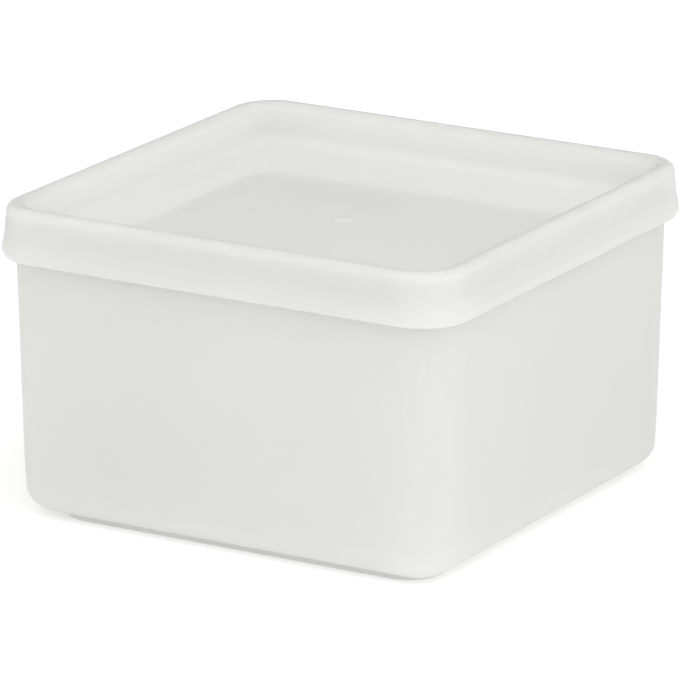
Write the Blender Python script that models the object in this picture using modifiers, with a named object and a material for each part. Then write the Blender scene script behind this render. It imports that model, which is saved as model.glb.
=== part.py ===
"""Square food storage tub of frosted plastic, shut by its press-on lid.

The tub is a thin tapered shell with rounded corners, which stands on a low foot
ring. The lid is a second thin shell: a skirt with a bulging lip hangs round the
tub's rim, a narrow arched crown covers the rim, and a sunk panel fills the middle.

Metres, +Z up. The origin is the middle of the base, on the plane the tub stands on.
"""

import bmesh
import bpy
from mathutils import Vector

# Whole object
TOTAL_HEIGHT = 0.0951
CLEARANCE = 0.0003

# Lid: outer shape
LID_HALF = 0.0750
LID_CORNER = 0.0140
LID_WALL = 0.0012
SKIRT_HEIGHT = 0.0157
CROWN_WIDTH = 0.0060
CROWN_OUTER_ROUND = 0.0024
CROWN_INNER_ROUND = 0.0030

# Lid: the skirt flares down to a lip: height above the skirt's edge, share of LIP_OUT
LIP_OUT = 0.0014
LIP_PROFILE = (
    (0.0, 0.25), (0.0012, 0.85), (0.0028, 1.0), (0.0050, 0.7), (0.0075, 0.35), (0.0100, 0.2), (0.0128, 0.0)
)

# Lid: sunk panel
RECESS_DEPTH = 0.0114
RECESS_DRAFT = 0.0003
RECESS_FILLET = 0.0028
GATE_RADIUS = 0.0022
GATE_TOP_RADIUS = 0.0014
GATE_HEIGHT = 0.0004

# Tub: outer shape
TUB_HALF_TOP = 0.0726
TUB_HALF_BOTTOM = 0.0709
TUB_WALL = 0.0012
BASE_ROUND = 0.0077

# Tub: bead round the rim, which the lid presses over: depth below the rim, share of BEAD_OUT
BEAD_OUT = 0.0008
BEAD_PROFILE = ((0.0, 0.35), (0.0009, 1.0), (0.0029, 1.0), (0.0042, 0.0))

# Tub: foot ring
FOOT_HEIGHT = 0.0025
FOOT_HALF = 0.0622
FOOT_CORNER = 0.0110
FOOT_WALL = 0.0022

# Fineness
CORNER_SEGMENTS = 8
BASE_SEGMENTS = 5
EDGE_SEGMENTS = 3
GATE_SIDES = 16
SHARP_ANGLE = 0.6
NEARLY = 1e-5
RING_SLACK = 1e-4

# Places that follow from the sizes
SKIRT_EDGE = TOTAL_HEIGHT - SKIRT_HEIGHT
RIM_HEIGHT = TOTAL_HEIGHT - LID_WALL - CLEARANCE
PANEL_HEIGHT = TOTAL_HEIGHT - RECESS_DEPTH

# The corners of both shells turn about the same four upright lines, this far out from the middle
CORE = LID_HALF - LID_CORNER
TUB_CORNER = TUB_HALF_TOP - CORE


def clear_scene():
    for obj in list(bpy.data.objects):
        bpy.data.objects.remove(obj, do_unlink=True)


def make_collection(name):
    collection = bpy.data.collections.new(name)
    bpy.context.scene.collection.children.link(collection)
    return collection


def make_material(name, colour, roughness):
    material = bpy.data.materials.new(name)
    material.use_nodes = True
    shader = material.node_tree.nodes["Principled BSDF"]
    shader.inputs["Base Color"].default_value = (*colour, 1.0)
    shader.inputs["Roughness"].default_value = roughness
    shader.inputs["Metallic"].default_value = 0.0
    return material


def make_object(name, bm, collection, material=None):
    bmesh.ops.recalc_face_normals(bm, faces=bm.faces)
    mesh = bpy.data.meshes.new(name)
    bm.to_mesh(mesh)
    bm.free()
    mesh.shade_smooth()
    mesh.set_sharp_from_angle(angle=SHARP_ANGLE)
    if material:
        mesh.materials.append(material)
    obj = bpy.data.objects.new(name, mesh)
    collection.objects.link(obj)
    return obj


def thicken(obj, wall):
    """Give an open skin its wall, inwards from the face that it shows."""
    solidify = obj.modifiers.new("wall", "SOLIDIFY")
    solidify.thickness = wall
    solidify.offset = -1.0
    solidify.use_even_offset = True
    solidify.use_quality_normals = True


def fuse(obj, other):
    """Join another closed shape onto this one."""
    other.hide_render = True
    other.display_type = "WIRE"
    union = obj.modifiers.new("union", "BOOLEAN")
    union.operation = "UNION"
    union.solver = "EXACT"
    union.object = other


def round_edges(bm, edges, radius, segments):
    bmesh.ops.bevel(
        bm,
        geom=edges,
        offset=radius,
        offset_type="OFFSET",
        segments=segments,
        profile=0.5,
        affect="EDGES",
        clamp_overlap=False,
    )


def rounded_prism(half_low, half_high, low, high, corner):
    """A square block between two heights, with its four upright edges rounded."""
    bm = bmesh.new()
    bmesh.ops.create_cube(bm, size=2.0)
    for vert in bm.verts:
        upper = vert.co.z > 0
        half = half_high if upper else half_low
        vert.co = Vector((vert.co.x * half, vert.co.y * half, high if upper else low))
    upright = [
        edge for edge in bm.edges if abs(edge.verts[0].co.z - edge.verts[1].co.z) > NEARLY
    ]
    round_edges(bm, upright, corner, CORNER_SEGMENTS)
    return bm


def outwards(point):
    """The level step out to a point from the square that the corners turn about."""
    nearest = Vector((max(-CORE, min(CORE, point.x)), max(-CORE, min(CORE, point.y))))
    return point.xy - nearest


def flat_face_at(bm, height):
    """The widest face whose corners all lie at one height."""
    level = [
        face for face in bm.faces if all(abs(vert.co.z - height) < NEARLY for vert in face.verts)
    ]
    return max(level, key=lambda face: face.calc_area())


def ring_at(bm, height, reach):
    """The edges that run round at one height, this far out from the corners' centres."""

    def on_ring(vert):
        at_height = abs(vert.co.z - height) < NEARLY
        return at_height and abs(outwards(vert.co).length - reach) < RING_SLACK

    return [edge for edge in bm.edges if all(on_ring(vert) for vert in edge.verts)]


def bulge(bm, profile, height_of, out):
    """Move the skin's open edge out, and a new loop for each further step of a profile."""
    for step, _ in profile[1:]:
        bmesh.ops.bisect_plane(
            bm,
            geom=bm.verts[:] + bm.edges[:] + bm.faces[:],
            plane_co=(0.0, 0.0, height_of(step)),
            plane_no=(0.0, 0.0, 1.0),
        )
    for step, share in profile:
        for vert in bm.verts:
            if abs(vert.co.z - height_of(step)) < NEARLY:
                move = outwards(vert.co).normalized() * out * share
                vert.co.x += move.x
                vert.co.y += move.y


def lid_skin():
    """The lid's upper and outer face: lip, skirt, crown, recess and panel."""
    bm = rounded_prism(LID_HALF, LID_HALF, SKIRT_EDGE, TOTAL_HEIGHT, LID_CORNER)
    bmesh.ops.delete(bm, geom=[flat_face_at(bm, SKIRT_EDGE)], context="FACES_ONLY")
    bulge(bm, LIP_PROFILE, lambda step: SKIRT_EDGE + step, LIP_OUT)
    top = flat_face_at(bm, TOTAL_HEIGHT)
    bmesh.ops.inset_region(bm, faces=[top], thickness=CROWN_WIDTH, use_even_offset=True)
    bmesh.ops.inset_region(
        bm, faces=[top], thickness=RECESS_DRAFT, depth=-RECESS_DEPTH, use_even_offset=True
    )
    inner = LID_CORNER - CROWN_WIDTH
    rounds = (
        (TOTAL_HEIGHT, LID_CORNER, CROWN_OUTER_ROUND),
        (TOTAL_HEIGHT, inner, CROWN_INNER_ROUND),
        (PANEL_HEIGHT, inner - RECESS_DRAFT, RECESS_FILLET),
    )
    for height, reach, radius in rounds:
        round_edges(bm, ring_at(bm, height, reach), radius, EDGE_SEGMENTS)
    return bm


def gate_mark():
    """The low stub left in the middle of the panel where the plastic was fed in."""
    bm = bmesh.new()
    bmesh.ops.create_cone(
        bm,
        cap_ends=True,
        segments=GATE_SIDES,
        radius1=GATE_RADIUS,
        radius2=GATE_TOP_RADIUS,
        depth=2 * GATE_HEIGHT,
    )
    bmesh.ops.translate(bm, verts=bm.verts, vec=(0.0, 0.0, PANEL_HEIGHT))
    return bm


def tub_skin():
    """The tub's outer face, open at the rim."""
    bm = rounded_prism(TUB_HALF_BOTTOM, TUB_HALF_TOP, FOOT_HEIGHT, RIM_HEIGHT, TUB_CORNER)
    bmesh.ops.delete(bm, geom=[flat_face_at(bm, RIM_HEIGHT)], context="FACES_ONLY")
    base = flat_face_at(bm, FOOT_HEIGHT)
    round_edges(bm, base.edges[:], BASE_ROUND, BASE_SEGMENTS)
    bulge(bm, BEAD_PROFILE, lambda step: RIM_HEIGHT - step, BEAD_OUT)
    return bm


def foot_skin():
    """The outer face of the ring that the tub stands on, up into the tub's floor."""
    top = FOOT_HEIGHT + TUB_WALL / 2
    bm = rounded_prism(FOOT_HALF, FOOT_HALF, 0.0, top, FOOT_CORNER)
    ends = [flat_face_at(bm, height) for height in (0.0, top)]
    bmesh.ops.delete(bm, geom=ends, context="FACES_ONLY")
    return bm


def make_tub(parts, cutters):
    material = make_material("frosted_plastic", (0.78, 0.79, 0.76), 0.45)
    tub = make_object("tub", tub_skin(), parts, material)
    thicken(tub, TUB_WALL)
    foot = make_object("foot_ring", foot_skin(), cutters)
    thicken(foot, FOOT_WALL)
    fuse(tub, foot)
    return tub


def make_lid(parts, cutters):
    material = make_material("lid_plastic", (0.80, 0.81, 0.78), 0.35)
    lid = make_object("lid", lid_skin(), parts, material)
    thicken(lid, LID_WALL)
    fuse(lid, make_object("gate_mark", gate_mark(), cutters))
    return lid


def main():
    clear_scene()
    parts = make_collection("food_storage_tub")
    cutters = make_collection("joined_shapes")
    make_tub(parts, cutters)
    make_lid(parts, cutters)


main()
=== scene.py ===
"""Square food storage tub of frosted plastic with its press-on lid, dressed for rendering.

The tub and the lid are each one closed thin shell, lofted through rings that are
squares with rounded corners. They stand in for the two plain solids of the frame.
"""

import math

import bmesh
import bpy
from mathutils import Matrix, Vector


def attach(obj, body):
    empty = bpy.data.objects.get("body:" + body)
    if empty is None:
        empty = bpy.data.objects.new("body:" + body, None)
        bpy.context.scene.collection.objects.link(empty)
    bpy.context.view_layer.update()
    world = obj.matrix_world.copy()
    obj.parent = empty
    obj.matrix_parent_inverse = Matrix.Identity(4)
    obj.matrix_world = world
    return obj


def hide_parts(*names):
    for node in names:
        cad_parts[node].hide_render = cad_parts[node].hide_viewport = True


# Whole object, in metres
TOTAL_HEIGHT = 0.0951
CLEARANCE = 0.0003

# Lid. A profile's rows are the height above the skirt's edge and the share of LIP_OUT
LID_HALF = 0.0750
LID_CORNER = 0.0140
LID_WALL = 0.0012
SKIRT_HEIGHT = 0.0157
SKIRT_EDGE_ROUND = 0.0004
CROWN_WIDTH = 0.0060
CROWN_OUTER_ROUND = 0.0024
CROWN_INNER_ROUND = 0.0030
LIP_OUT = 0.0014
LIP_PROFILE = (
    (0.0, 0.25),
    (0.0012, 0.85),
    (0.0028, 1.0),
    (0.0050, 0.7),
    (0.0075, 0.35),
    (0.0100, 0.2),
    (0.0128, 0.0),
)
RECESS_DEPTH = 0.0114
RECESS_DRAFT = 0.0003
RECESS_FILLET = 0.0028
RECESS_BLEND = 0.0050
GATE_RADIUS = 0.0028
GATE_TOP_RADIUS = 0.0016
GATE_TOP_ROUND = 0.0002
GATE_HEIGHT = 0.00025
GATE_REACH = 0.0048

# Tub. A profile's rows are the depth below the rim and the share of BEAD_OUT
TUB_HALF_TOP = 0.0726
TUB_HALF_BOTTOM = 0.0709
TUB_WALL = 0.0012
BASE_ROUND = 0.0077
BEAD_OUT = 0.0008
BEAD_PROFILE = ((0.0, 0.35), (0.0009, 1.0), (0.0029, 1.0), (0.0042, 0.0))
FOOT_HEIGHT = 0.0025
FOOT_HALF = 0.0622
FOOT_CORNER = 0.0110
FOOT_WALL = 0.0022
FOOT_ROUND = 0.0004

# Places that follow from the sizes
SKIRT_EDGE = TOTAL_HEIGHT - SKIRT_HEIGHT
RIM_HEIGHT = TOTAL_HEIGHT - LID_WALL - CLEARANCE
PANEL_HEIGHT = TOTAL_HEIGHT - RECESS_DEPTH
PANEL_HALF = LID_HALF - CROWN_WIDTH - RECESS_DRAFT - RECESS_FILLET
CORE = LID_HALF - LID_CORNER
TUB_CORNER = TUB_HALF_TOP - CORE
BASE_CORNER = TUB_CORNER - BASE_ROUND

# Fineness
CORNER_STEPS = 20
SIDE_STEPS = 14
ARC_STEPS = 8
BASE_STEPS = 12
FOOT_STEPS = 3
STRAIGHT_STEPS = 4
WALL_STEPS = 10
PROFILE_STEPS = 4
PANEL_RINGS = 22
UNDERSIDE_SHARES = (0.1, 0.4, 0.7, 0.9)
TUB_FLOOR_SHARES = (0.8, 0.5, 0.2)
SHARP_ANGLE = 0.9

# Camera: turned from the front, tilted down, its distance and picture angle
TURN = math.radians(30.43)
TILT = math.radians(16.61)
DISTANCE = 1.916
PICTURE_ANGLE = math.radians(5.960)
AIM_LEFT = 0.0012
AIM_DOWN = 0.00055
CLIP_START = 0.1
CLIP_END = 50.0

# Plastic: colours, how far light wanders in it, and the share of light that passes through a face
TUB_COLOUR = (0.648, 0.652, 0.635)
LID_COLOUR = (0.705, 0.708, 0.697)
# Painted light: the recess's panel and walls are the lid's plastic, coloured far lighter so the
# recess looks as brightly lit as the crown and skirt
RECESS_PAINTED_LIGHT = (0.985, 0.987, 0.970)
PASSED_COLOUR = (1.0, 1.0, 0.998)
LIGHT_REACH = 0.002
PASSED_SHARE = 0.6
PLASTIC_IOR = 1.49

# Plastic: its gleam, the clouds in its colour and the fine grain of its faces
TUB_ROUGHNESS = 0.30
LID_ROUGHNESS = 0.50
RECESS_ROUGHNESS = 0.07
GLOSS_SPREAD = (0.9, 1.1)
TUB_CLOUD = 0.025
LID_CLOUD = 0.02
CLOUD_SCALE = 26.0
CLOUD_DETAIL = 5.0
CLOUD_DISTORTION = 0.6
CLOUD_ENDS = (0.3, 0.7)
TUB_GRAIN = 0.25
LID_GRAIN = 0.05
GRAIN_SCALE = 1400.0
GRAIN_DETAIL = 2.0
GRAIN_DEPTH = 0.00005

# Light: the soft room's strength on its dim and bright side, overhead and low down behind the tub
ROOM_DIM = 1.23
ROOM_BRIGHT = 2.04
ROOM_BRIGHT_SIDE = (1.0, -0.4, 0.2)
ROOM_DIM_TINT = (1.0, 1.0, 0.96)
ROOM_BRIGHT_TINT = (1.0, 0.995, 1.0)
OVERHEAD_SHARE = 0.84
DARK_SHARE = 0.04
DARK_INNER = 30
DARK_OUTER = 80

# Floor: white paper lit from below, as under a cut-out product picture
FLOOR_HALF = 12.0
FLOOR_WHITE = (0.98, 0.98, 0.98)
FLOOR_ROUGHNESS = 0.9
FLOOR_GLOW = 0.20


def arc(centre_x, centre_z, radius, start, end, steps=ARC_STEPS):
    """Points on an arc in a profile, both ends included. Angles in degrees from +x."""
    points = []
    for step in range(steps + 1):
        angle = math.radians(start + (end - start) * step / steps)
        points.append((centre_x + radius * math.cos(angle), centre_z + radius * math.sin(angle)))
    return points


def smooth(points, steps=PROFILE_STEPS):
    """A soft curve through the points of a profile, both ends included."""
    last = len(points) - 1
    curve = []
    for index in range(last):
        before = Vector(points[max(index - 1, 0)])
        start = Vector(points[index])
        end = Vector(points[index + 1])
        after = Vector(points[min(index + 2, last)])
        for step in range(steps):
            t = step / steps
            bend = start * 2 + (end - before) * t
            bend += (before * 2 - start * 5 + end * 4 - after) * t * t
            bend += (start * 3 - before - end * 3 + after) * t * t * t
            curve.append(tuple(bend * 0.5))
    curve.append(tuple(points[last]))
    return curve


def between(start, end, steps):
    """Evenly spaced points of a straight stretch, without its two ends."""
    return [
        tuple(Vector(start).lerp(Vector(end), step / steps)) for step in range(1, steps)
    ]


def offset(profile, wall):
    """The profile moved sideways by the wall, to the right of its direction of travel."""
    moved = []
    last = len(profile) - 1
    for index, point in enumerate(profile):
        back = Vector(profile[max(index - 1, 0)])
        ahead = Vector(profile[min(index + 1, last)])
        way = (ahead - back).normalized()
        moved.append((point[0] + way.y * wall, point[1] - way.x * wall))
    return moved


def rounded_square(half, corner, height):
    """Points round a level square with rounded corners, anticlockwise from above."""
    corner = min(corner, half)
    core = half - corner
    points = []
    for quarter in range(4):
        turn = math.radians(90.0 * quarter)
        across = Vector((math.cos(turn), math.sin(turn)))
        along = Vector((-math.sin(turn), math.cos(turn)))
        centre = (across + along) * core
        for step in range(CORNER_STEPS + 1):
            angle = math.radians(90.0 * step / CORNER_STEPS)
            out = across * math.cos(angle) + along * math.sin(angle)
            points.append((centre + out * corner).to_3d())
        for step in range(1, SIDE_STEPS):
            slide = core * (1.0 - 2.0 * step / SIDE_STEPS)
            points.append((across * slide + along * half).to_3d())
    for point in points:
        point.z = height
    return points


def loft(name, rings, start, end):
    """One closed shell through the rings, with a point closing each end."""
    bm = bmesh.new()
    rows = [[bm.verts.new(point) for point in ring] for ring in rings]
    count = len(rows[0])
    for low, high in zip(rows, rows[1:]):
        for index in range(count):
            after = (index + 1) % count
            bm.faces.new((low[index], low[after], high[after], high[index]))
    for row, tip in ((rows[0], start), (rows[-1], end)):
        point = bm.verts.new(tip)
        for index in range(count):
            bm.faces.new((row[index], row[(index + 1) % count], point))
    bmesh.ops.recalc_face_normals(bm, faces=bm.faces)
    mesh = bpy.data.meshes.new(name)
    bm.to_mesh(mesh)
    bm.free()
    mesh.shade_smooth()
    mesh.set_sharp_from_angle(angle=SHARP_ANGLE)
    obj = bpy.data.objects.new(name, mesh)
    bpy.context.scene.collection.objects.link(obj)
    return obj


def lid_profile():
    """Outer face of the lid, from the skirt's lower edge over the crown to the panel."""
    lip = [(LID_HALF + LIP_OUT * share, SKIRT_EDGE + step) for step, share in LIP_PROFILE]
    points = smooth(lip)
    top = (LID_HALF, TOTAL_HEIGHT - CROWN_OUTER_ROUND)
    points += between(points[-1], top, STRAIGHT_STEPS)
    points += arc(
        LID_HALF - CROWN_OUTER_ROUND, TOTAL_HEIGHT - CROWN_OUTER_ROUND, CROWN_OUTER_ROUND, 0, 90
    )
    inner = LID_HALF - CROWN_WIDTH
    points += arc(
        inner + CROWN_INNER_ROUND, TOTAL_HEIGHT - CROWN_INNER_ROUND, CROWN_INNER_ROUND, 90, 180
    )
    foot = (inner - RECESS_DRAFT, PANEL_HEIGHT + RECESS_FILLET)
    points += between(points[-1], foot, STRAIGHT_STEPS)
    points += arc(
        foot[0] - RECESS_FILLET, PANEL_HEIGHT + RECESS_FILLET, RECESS_FILLET, 0, -90
    )
    return points


def panel_rings(height):
    """Level rings from the panel's edge towards its middle, squares that turn into circles."""
    rings = []
    edge = rounded_square(PANEL_HALF, PANEL_HALF - CORE, 0.0)
    for step in range(1, PANEL_RINGS):
        share = 1.0 - step / (PANEL_RINGS + 1)
        round_share = (1.0 - share) ** 3
        ring = []
        for point in edge:
            circle = point.normalized() * PANEL_HALF
            place = point.lerp(circle, round_share) * share
            place.z = height
            ring.append(place)
        rings.append(ring)
    return rings


def gate_rings(height):
    """Rings of the low stub of plastic in the middle of the panel."""
    sizes = (
        (GATE_REACH, 0.0),
        (GATE_REACH * 0.7, 0.0),
        (GATE_RADIUS * 1.1, 0.0),
        (GATE_RADIUS, GATE_HEIGHT * 0.2),
        (GATE_TOP_RADIUS + GATE_TOP_ROUND, GATE_HEIGHT * 0.85),
        (GATE_TOP_RADIUS, GATE_HEIGHT),
        (GATE_TOP_RADIUS * 0.5, GATE_HEIGHT),
    )
    rings = []
    for radius, rise in sizes:
        ring = [point.normalized() * radius for point in rounded_square(1.0, 0.2, 0.0)]
        for point in ring:
            point.z = height + rise
        rings.append(ring)
    return rings


def make_lid():
    """The shell from the middle of its inner face, round the skirt's edge, to the gate mark."""
    outer = lid_profile()
    inner = offset(outer, -LID_WALL)
    rings = []
    rings += reversed(panel_rings(PANEL_HEIGHT - LID_WALL))
    for half, height in reversed(inner):
        rings.append(rounded_square(half, half - CORE, height))
    edge_half = outer[0][0] - SKIRT_EDGE_ROUND
    rings.append(rounded_square(edge_half, edge_half - CORE, SKIRT_EDGE))
    for half, height in outer:
        rings.append(rounded_square(half, half - CORE, height))
    rings += panel_rings(PANEL_HEIGHT)
    rings += gate_rings(PANEL_HEIGHT)
    start = Vector((0.0, 0.0, PANEL_HEIGHT - LID_WALL))
    end = Vector((0.0, 0.0, PANEL_HEIGHT + GATE_HEIGHT))
    return loft("press_lid", rings, start, end)


def tub_half(height):
    """Half side of the tub's outer face at a height, by its slight taper."""
    share = (height - FOOT_HEIGHT) / (RIM_HEIGHT - FOOT_HEIGHT)
    return TUB_HALF_BOTTOM + (TUB_HALF_TOP - TUB_HALF_BOTTOM) * share


def make_tub():
    """The shell from the middle of its underside, over the rim, to the middle of its floor."""
    rings = []
    for share in UNDERSIDE_SHARES:
        rings.append(rounded_square(FOOT_HALF * share, FOOT_CORNER * share, FOOT_HEIGHT))
    inside = FOOT_HALF - FOOT_WALL
    rings.append(rounded_square(inside, FOOT_CORNER - FOOT_WALL, FOOT_HEIGHT))
    for half, height in arc(inside + FOOT_ROUND, FOOT_ROUND, FOOT_ROUND, 180, 270, FOOT_STEPS):
        rings.append(rounded_square(half, half - FOOT_HALF + FOOT_CORNER, height))
    for half, height in arc(FOOT_HALF - FOOT_ROUND, FOOT_ROUND, FOOT_ROUND, -90, 0, FOOT_STEPS):
        rings.append(rounded_square(half, half - FOOT_HALF + FOOT_CORNER, height))
    rings.append(rounded_square(FOOT_HALF, FOOT_CORNER, FOOT_HEIGHT))
    for wall in (0.0, TUB_WALL):
        stretch = []
        low = TUB_HALF_BOTTOM - BASE_ROUND
        turn = arc(low, FOOT_HEIGHT + BASE_ROUND, BASE_ROUND - wall, -90, 0, BASE_STEPS)
        for half, height in turn:
            stretch.append((half, BASE_CORNER + half - low, height))
        bead_foot = RIM_HEIGHT - BEAD_PROFILE[-1][0]
        start = FOOT_HEIGHT + BASE_ROUND
        for step in range(1, WALL_STEPS):
            height = start + (bead_foot - start) * step / WALL_STEPS
            half = tub_half(height) - wall
            stretch.append((half, TUB_CORNER - wall, height))
        bead = [
            (tub_half(RIM_HEIGHT - step) + BEAD_OUT * share, RIM_HEIGHT - step)
            for step, share in reversed(BEAD_PROFILE)
        ]
        for half, height in smooth(bead):
            extra = half - tub_half(height)
            stretch.append((half - wall, TUB_CORNER + extra - wall, height))
        if wall:
            stretch.reverse()
        rings += [rounded_square(*ring) for ring in stretch]
    for share in TUB_FLOOR_SHARES:
        ring = rounded_square(
            (TUB_HALF_BOTTOM - BASE_ROUND) * share, BASE_CORNER * share, FOOT_HEIGHT + TUB_WALL
        )
        rings.append(ring)
    start = Vector((0.0, 0.0, FOOT_HEIGHT))
    end = Vector((0.0, 0.0, FOOT_HEIGHT + TUB_WALL))
    return loft("tub_body", rings, start, end)


def frosted(name, colour, roughness, cloud, grain, painted_light_colour=None, recess_roughness=None):
    """Moulded plastic that lets light through, with faint clouds, a fine grain and a gleam.

    A second roughness, where given, takes over as the "recess" attribute grows to 1, together
    with a second, lighter colour that is painted light in the recess.
    """
    material = bpy.data.materials.new(name)
    material.use_nodes = True
    nodes = material.node_tree.nodes
    links = material.node_tree.links
    shader = nodes["Principled BSDF"]
    shader.inputs["IOR"].default_value = PLASTIC_IOR
    shader.inputs["Subsurface Weight"].default_value = 1.0
    shader.inputs["Subsurface Radius"].default_value = (1.0, 1.0, 1.0)
    shader.inputs["Subsurface Scale"].default_value = LIGHT_REACH
    place = nodes.new("ShaderNodeTexCoord")

    clouds = nodes.new("ShaderNodeTexNoise")
    clouds.inputs["Scale"].default_value = CLOUD_SCALE
    clouds.inputs["Detail"].default_value = CLOUD_DETAIL
    clouds.inputs["Distortion"].default_value = CLOUD_DISTORTION
    links.new(place.outputs["Object"], clouds.inputs["Vector"])

    def clouded(shade):
        tint = nodes.new("ShaderNodeValToRGB")
        low, high = tint.color_ramp.elements
        low.position, high.position = CLOUD_ENDS
        low.color = (*[value * (1.0 - cloud) for value in shade], 1.0)
        high.color = (*shade, 1.0)
        links.new(clouds.outputs["Fac"], tint.inputs["Fac"])
        return tint.outputs["Color"]

    def polished(middle):
        gloss = nodes.new("ShaderNodeMapRange")
        gloss.inputs["To Min"].default_value = middle * GLOSS_SPREAD[0]
        gloss.inputs["To Max"].default_value = middle * GLOSS_SPREAD[1]
        links.new(clouds.outputs["Fac"], gloss.inputs["Value"])
        return gloss.outputs["Result"]

    def blended(kind, share, start, end):
        mix = nodes.new("ShaderNodeMix")
        mix.data_type = kind
        sockets = [socket for socket in mix.inputs if socket.enabled]
        for source, socket in zip((share, start, end), sockets):
            links.new(source, socket)
        return next(socket for socket in mix.outputs if socket.enabled)

    shade = clouded(colour)
    gleam = polished(roughness)
    if painted_light_colour:
        recess = nodes.new("ShaderNodeAttribute")
        recess.attribute_name = "recess"
        share = recess.outputs["Fac"]
        # Painted light: the recess takes a much lighter colour, so it looks as lit as the crown
        # and skirt
        shade = blended("RGBA", share, shade, clouded(painted_light_colour))
        gleam = blended("FLOAT", share, gleam, polished(recess_roughness))
    links.new(shade, shader.inputs["Base Color"])
    links.new(gleam, shader.inputs["Roughness"])

    fine = nodes.new("ShaderNodeTexNoise")
    fine.inputs["Scale"].default_value = GRAIN_SCALE
    fine.inputs["Detail"].default_value = GRAIN_DETAIL
    links.new(place.outputs["Object"], fine.inputs["Vector"])
    bump = nodes.new("ShaderNodeBump")
    bump.inputs["Strength"].default_value = grain
    bump.inputs["Distance"].default_value = GRAIN_DEPTH
    links.new(fine.outputs["Fac"], bump.inputs["Height"])
    links.new(bump.outputs["Normal"], shader.inputs["Normal"])

    passed = nodes.new("ShaderNodeBsdfTranslucent")
    passed.inputs["Color"].default_value = (*PASSED_COLOUR, 1.0)
    both = nodes.new("ShaderNodeMixShader")
    both.inputs["Fac"].default_value = PASSED_SHARE
    links.new(shader.outputs["BSDF"], both.inputs[1])
    links.new(passed.outputs["BSDF"], both.inputs[2])
    links.new(both.outputs["Shader"], nodes["Material Output"].inputs["Surface"])
    return material


def mark_recess(lid):
    """Store on each point of the lid how far it lies in the recess, from 0 on the crown to 1. The
    share blends in the recess's glossier finish and its painted light.
    """
    shares = lid.data.attributes.new("recess", "FLOAT", "POINT")
    for vert in lid.data.vertices:
        nearest = Vector([max(-CORE, min(CORE, way)) for way in vert.co.xy])
        inside = (vert.co.xy - nearest).length < LID_CORNER - CROWN_WIDTH / 2
        depth = (TOTAL_HEIGHT - vert.co.z) / RECESS_BLEND
        shares.data[vert.index].value = min(max(depth, 0.0), 1.0) if inside else 0.0


def make_floor():
    """White paper that glows a little, wide enough to fill the picture."""
    bm = bmesh.new()
    bmesh.ops.create_grid(bm, x_segments=2, y_segments=2, size=FLOOR_HALF)
    mesh = bpy.data.meshes.new("floor")
    bm.to_mesh(mesh)
    bm.free()
    material = bpy.data.materials.new("floor_paper")
    material.use_nodes = True
    nodes = material.node_tree.nodes
    shader = nodes["Principled BSDF"]
    shader.inputs["Roughness"].default_value = FLOOR_ROUGHNESS
    shader.inputs["Specular IOR Level"].default_value = 0.0
    shader.inputs["Base Color"].default_value = (*FLOOR_WHITE, 1.0)
    shader.inputs["Emission Color"].default_value = (*FLOOR_WHITE, 1.0)
    shader.inputs["Emission Strength"].default_value = FLOOR_GLOW
    mesh.materials.append(material)
    floor = bpy.data.objects.new("floor", mesh)
    bpy.context.scene.collection.objects.link(floor)


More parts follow.
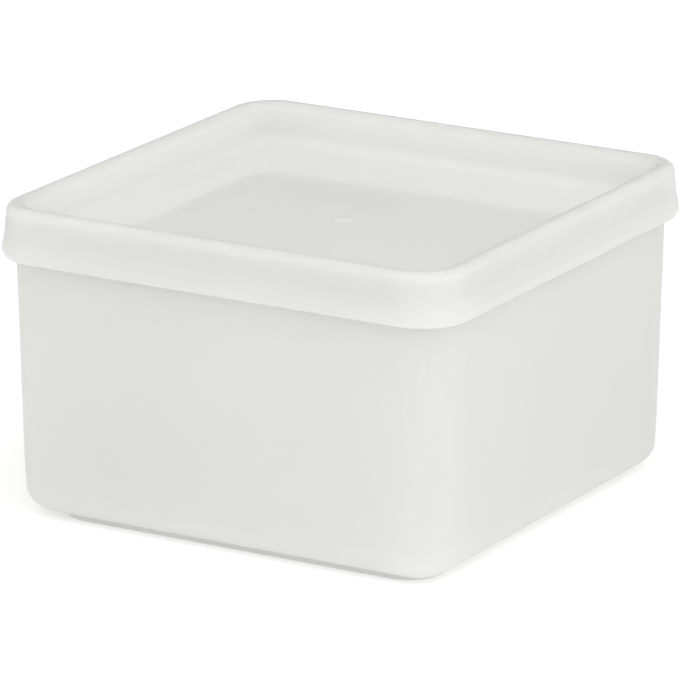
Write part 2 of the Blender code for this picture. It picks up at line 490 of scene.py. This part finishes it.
def light_room():
    """A bright soft room that is dim low down behind the tub."""
    world = bpy.data.worlds.new("studio")
    bpy.context.scene.world = world
    world.use_nodes = True
    nodes = world.node_tree.nodes
    links = world.node_tree.links
    background = nodes["Background"]
    place = nodes.new("ShaderNodeTexCoord")

    def towards(direction):
        dot = nodes.new("ShaderNodeVectorMath")
        dot.operation = "DOT_PRODUCT"
        dot.inputs[1].default_value = Vector(direction).normalized()
        links.new(place.outputs["Generated"], dot.inputs[0])
        return dot.outputs["Value"]

    def ramp(value, low, high, start, end, blend="LINEAR"):
        scale = nodes.new("ShaderNodeMapRange")
        scale.interpolation_type = blend
        scale.inputs["From Min"].default_value = low
        scale.inputs["From Max"].default_value = high
        scale.inputs["To Min"].default_value = start
        scale.inputs["To Max"].default_value = end
        links.new(value, scale.inputs["Value"])
        return scale.outputs["Result"]

    def times(first, second):
        product = nodes.new("ShaderNodeMath")
        product.operation = "MULTIPLY"
        links.new(first, product.inputs[0])
        links.new(second, product.inputs[1])
        return product.outputs["Value"]

    away = (-math.sin(TURN) * math.cos(TILT), math.cos(TURN) * math.cos(TILT), math.sin(TILT))
    outer = math.cos(math.radians(DARK_OUTER))
    inner = math.cos(math.radians(DARK_INNER))
    side = ramp(towards(ROOM_BRIGHT_SIDE), -1.0, 1.0, ROOM_DIM, ROOM_BRIGHT)
    overhead = ramp(towards((0.0, 0.0, 1.0)), 0.0, 1.0, 1.0, OVERHEAD_SHARE)
    behind = ramp(towards(away), outer, inner, 1.0, DARK_SHARE, "SMOOTHSTEP")
    links.new(times(times(side, overhead), behind), background.inputs["Strength"])
    tint = nodes.new("ShaderNodeValToRGB")
    tint.color_ramp.elements[0].color = (*ROOM_DIM_TINT, 1.0)
    tint.color_ramp.elements[1].color = (*ROOM_BRIGHT_TINT, 1.0)
    links.new(ramp(towards(ROOM_BRIGHT_SIDE), -1.0, 1.0, 0.0, 1.0), tint.inputs["Fac"])
    links.new(tint.outputs["Color"], background.inputs["Color"])


def make_camera():
    """The photo's view: turned and tilted about the middle of the part, aimed a little off it."""
    camera = bpy.data.objects.new("camera", bpy.data.cameras.new("camera"))
    bpy.context.scene.collection.objects.link(camera)
    camera.data.lens_unit = "FOV"
    camera.data.angle = PICTURE_ANGLE
    camera.data.clip_start = CLIP_START
    camera.data.clip_end = CLIP_END
    back = Vector(
        (math.sin(TURN) * math.cos(TILT), -math.cos(TURN) * math.cos(TILT), math.sin(TILT))
    )
    right = Vector((math.cos(TURN), math.sin(TURN), 0.0))
    up = back.cross(right)
    middle = Vector((0.0, 0.0, TOTAL_HEIGHT / 2))
    camera.location = middle - right * AIM_LEFT - up * AIM_DOWN + back * DISTANCE
    camera.rotation_mode = "QUATERNION"
    camera.rotation_quaternion = (-back).to_track_quat("-Z", "Y")
    bpy.context.scene.camera = camera


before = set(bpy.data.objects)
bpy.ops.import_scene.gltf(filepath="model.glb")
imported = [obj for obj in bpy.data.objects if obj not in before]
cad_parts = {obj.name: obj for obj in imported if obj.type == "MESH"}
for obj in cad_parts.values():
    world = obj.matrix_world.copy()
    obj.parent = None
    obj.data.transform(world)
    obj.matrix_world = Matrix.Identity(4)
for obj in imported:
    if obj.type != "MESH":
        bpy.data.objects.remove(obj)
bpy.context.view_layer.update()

tub = make_tub()
tub.data.materials.append(
    frosted("tub_frosted", TUB_COLOUR, TUB_ROUGHNESS, TUB_CLOUD, TUB_GRAIN)
)
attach(tub, "root")
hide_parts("tub")

lid = make_lid()
mark_recess(lid)
lid.data.materials.append(
    frosted(
        "lid_frosted",
        LID_COLOUR,
        LID_ROUGHNESS,
        LID_CLOUD,
        LID_GRAIN,
        RECESS_PAINTED_LIGHT,
        RECESS_ROUGHNESS,
    )
)
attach(lid, "root")
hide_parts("lid")

make_floor()
light_room()
make_camera()
bpy.context.scene.view_settings.view_transform = "Standard"
